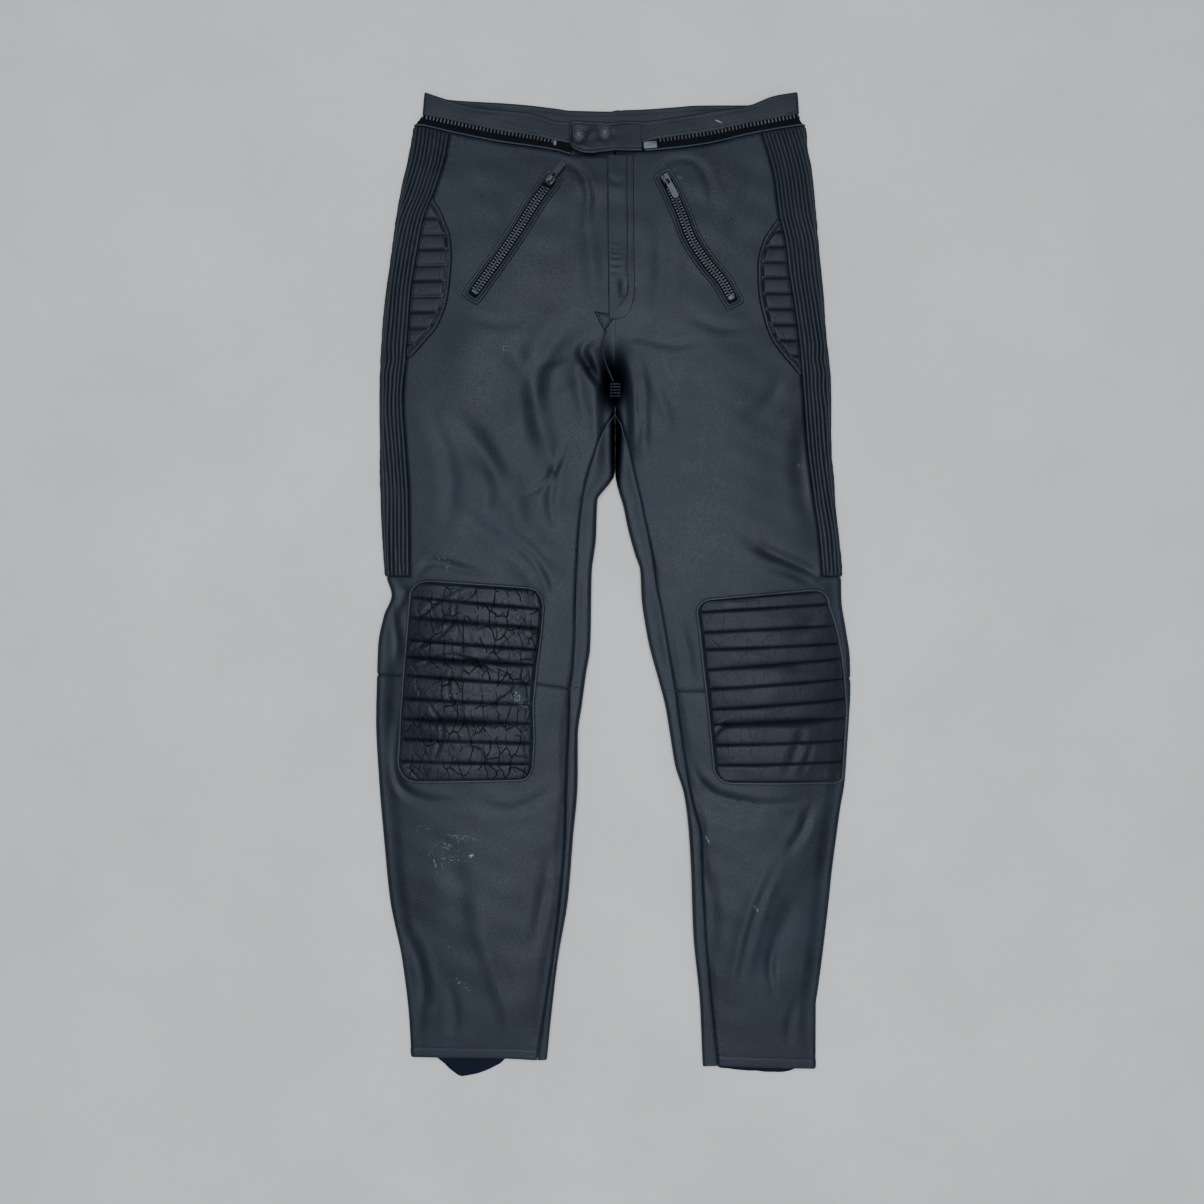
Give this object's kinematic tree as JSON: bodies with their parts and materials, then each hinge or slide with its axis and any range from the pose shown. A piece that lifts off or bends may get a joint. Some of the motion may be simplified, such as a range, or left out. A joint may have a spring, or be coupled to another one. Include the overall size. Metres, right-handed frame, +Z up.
{
  "type": "motorcycle trousers",
  "caption": "Leather motorcycle trousers laid flat, with ribbed side panels, padded hip and knee panels, slanted zip pockets and a snap-tab waistband.",
  "frame": {"origin": "middle of the garment's underside, at the height of the surface it lies on", "axes": "+Z up out of the front, +Y towards the waist, +X towards the wearer's left side"},
  "size_m": [0.4959, 1.0337, 0.0339],
  "materials": {
    "leather": "worn blue-black cowhide, fine grain, soft satin sheen, scuffed pale in places",
    "padded_leather": "quilted and creased blue-black leather over foam",
    "ribbed_leather": "narrow stitched leather ribs, satin on the crests",
    "zip_tape": "black woven zip tape with moulded black teeth",
    "zip_metal": "black enamelled slider and pull, rubbed to bare metal at the edges",
    "snap_metal": "dark enamelled press-stud caps, worn",
    "lining": "smooth navy lining cloth"
  },
  "bodies": {
    "garment": {"right_front_panel": "leather", "left_front_panel": "leather", "right_shin_panel": "leather", "left_shin_panel": "leather", "right_back_panel": "leather", "left_back_panel": "leather", "right_calf_panel": "leather", "left_calf_panel": "leather", "waistband_right_front": "leather", "waistband_left_front": "leather", "waistband_back": "leather", "waistband_tab": "leather", "fly_placket": "leather", "right_knee_pad": "padded_leather", "left_knee_pad": "padded_leather", "right_hip_pad": "padded_leather", "left_hip_pad": "padded_leather", "right_rib_panel": "ribbed_leather", "left_rib_panel": "ribbed_leather", "waist_zip": "zip_tape", "right_pocket_zip": "zip_tape", "left_pocket_zip": "zip_tape", "right_zip_slider": "zip_metal", "left_zip_slider": "zip_metal", "snap_outer": "snap_metal", "snap_inner": "snap_metal", "right_lining": "lining", "left_lining": "lining"},
    "right_pull": {"right_zip_pull": "zip_metal"},
    "left_pull": {"left_zip_pull": "zip_metal"}
  },
  "joints": [
    {"name": "right_pull_hinge", "type": "hinge", "parent": "garment", "child": "right_pull", "pos_m": [-0.06534, 0.42074, 0.0193], "axis": [0.8124, -0.5831, 0], "range_deg": [0, 164]},
    {"name": "left_pull_hinge", "type": "hinge", "parent": "garment", "child": "left_pull", "pos_m": [0.05434, 0.42271, 0.0193], "axis": [-0.8696, -0.4938, 0], "range_deg": [0, 164]}
  ]
}
